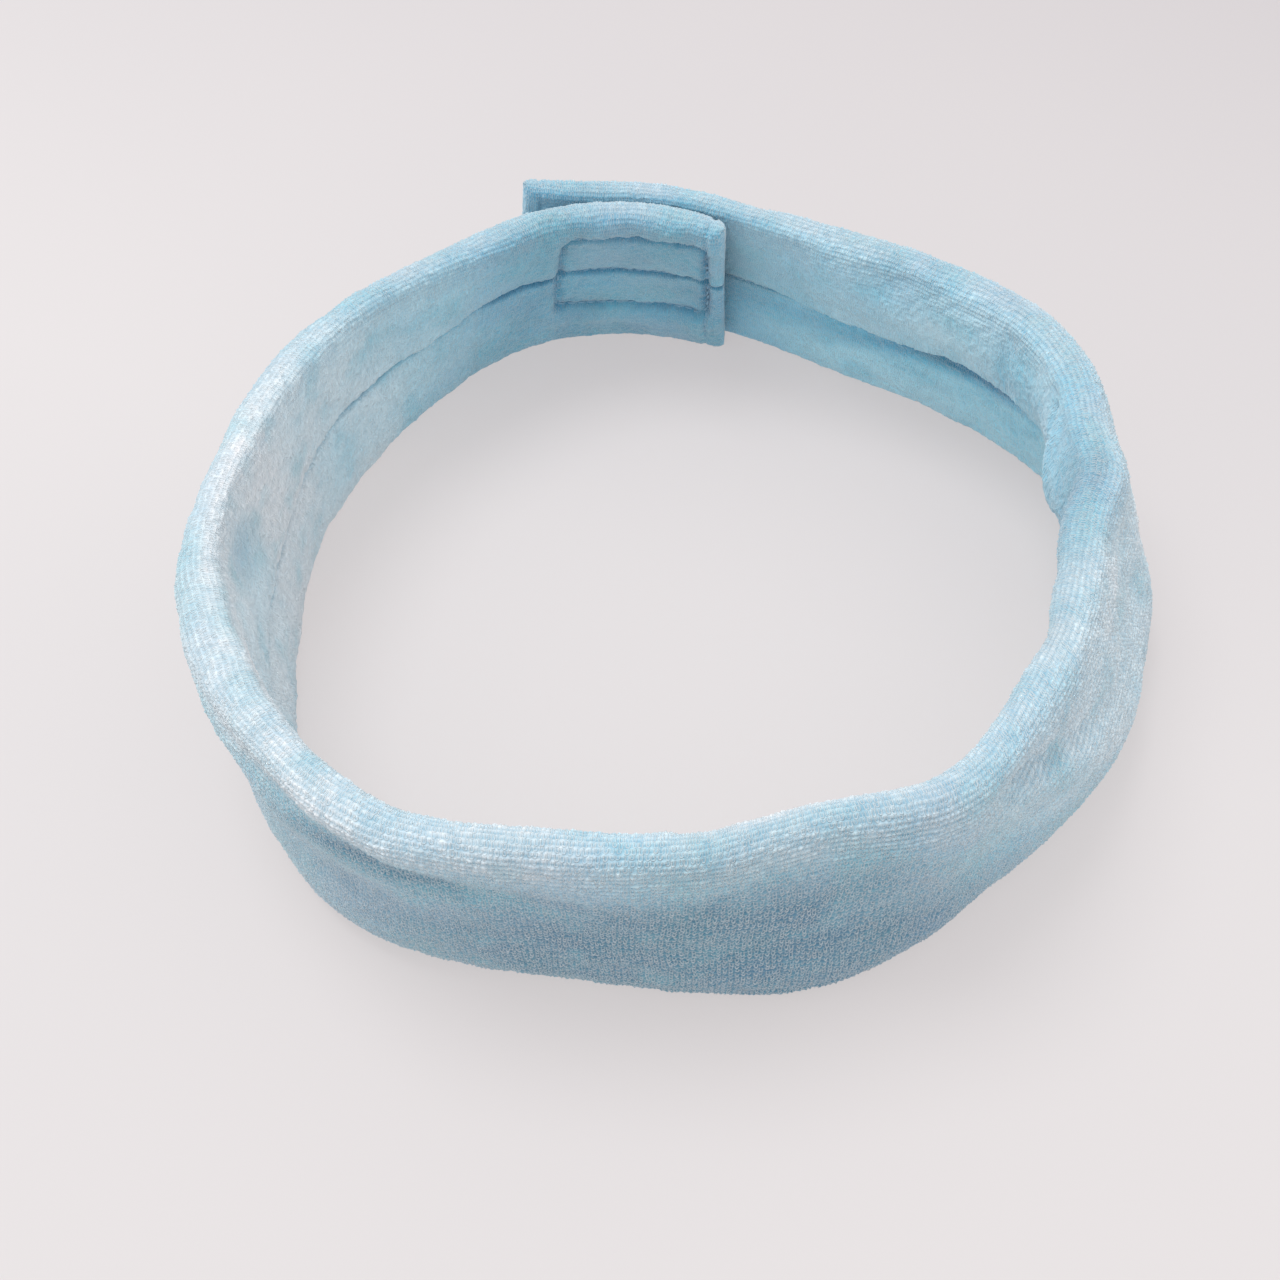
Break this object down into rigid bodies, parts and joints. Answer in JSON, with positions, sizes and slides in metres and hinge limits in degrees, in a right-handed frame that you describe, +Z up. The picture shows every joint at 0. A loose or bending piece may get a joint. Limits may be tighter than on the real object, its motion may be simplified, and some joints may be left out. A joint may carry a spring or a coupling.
{
  "type": "spa headband",
  "caption": "Soft towelling headband standing in a ring, its ends lapped at the back and held by hook and loop tapes; the ring opens and both tabs bend.",
  "frame": {"origin": "centre of the ring's bounding box, on the surface it stands on", "axes": "+Z up, along the ring's axis; +Y towards the back, where the ends overlap; +X to the right seen from the front"},
  "size_m": [0.1804, 0.1913, 0.0495],
  "materials": {
    "towelling": "matte",
    "thread": "satin",
    "loop_tape": "matte",
    "hook_tape": "satin"
  },
  "bodies": {
    "front": {"band_front": "towelling", "seam_front": "thread"},
    "right_side": {"band_right_side": "towelling", "seam_right_side": "thread"},
    "right_back": {"band_right_back": "towelling", "seam_right_back": "thread"},
    "left_side": {"band_left_side": "towelling", "seam_left_side": "thread"},
    "left_back": {"band_left_back": "towelling", "seam_left_back": "thread"},
    "outer_tab": {"band_outer_tab": "towelling", "seam_outer_tab": "thread", "hook_tape": "hook_tape", "stitch_box_outer": "thread", "end_stitch_outer": "thread"},
    "inner_tab": {"band_inner_tab": "towelling", "seam_inner_tab": "thread", "loop_tape": "loop_tape", "stitch_box_inner": "thread", "end_stitch_inner": "thread"}
  },
  "joints": [
    {"name": "right_fold", "type": "hinge", "parent": "front", "child": "right_side", "pos_m": [0.06064, -0.06794, 0], "axis": [0, 0, -1], "range_deg": [0, 50]},
    {"name": "right_back_fold", "type": "hinge", "parent": "right_side", "child": "right_back", "pos_m": [0.08759, 0.02867, 0], "axis": [0, 0, -1], "range_deg": [0, 50]},
    {"name": "outer_tab_peel", "type": "hinge", "parent": "right_back", "child": "outer_tab", "pos_m": [0.0167, 0.08734, 0], "axis": [0, 0, -1], "range_deg": [0, 85]},
    {"name": "left_fold", "type": "hinge", "parent": "front", "child": "left_side", "pos_m": [-0.07449, -0.07579, 0], "axis": [0, 0, 1], "range_deg": [0, 32.5]},
    {"name": "left_back_fold", "type": "hinge", "parent": "left_side", "child": "left_back", "pos_m": [-0.0879, 0.01845, 0], "axis": [0, 0, 1], "range_deg": [0, 32.5]},
    {"name": "inner_tab_flex", "type": "hinge", "parent": "left_back", "child": "inner_tab", "pos_m": [-0.03659, 0.0618, 0], "axis": [0, 0, -1], "range_deg": [0, 30]}
  ],
  "couplings": [
    {"joint": "right_back_fold", "follows": "right_fold", "ratio": 1},
    {"joint": "left_fold", "follows": "right_fold", "ratio": 0.65},
    {"joint": "left_back_fold", "follows": "right_fold", "ratio": 0.65}
  ]
}
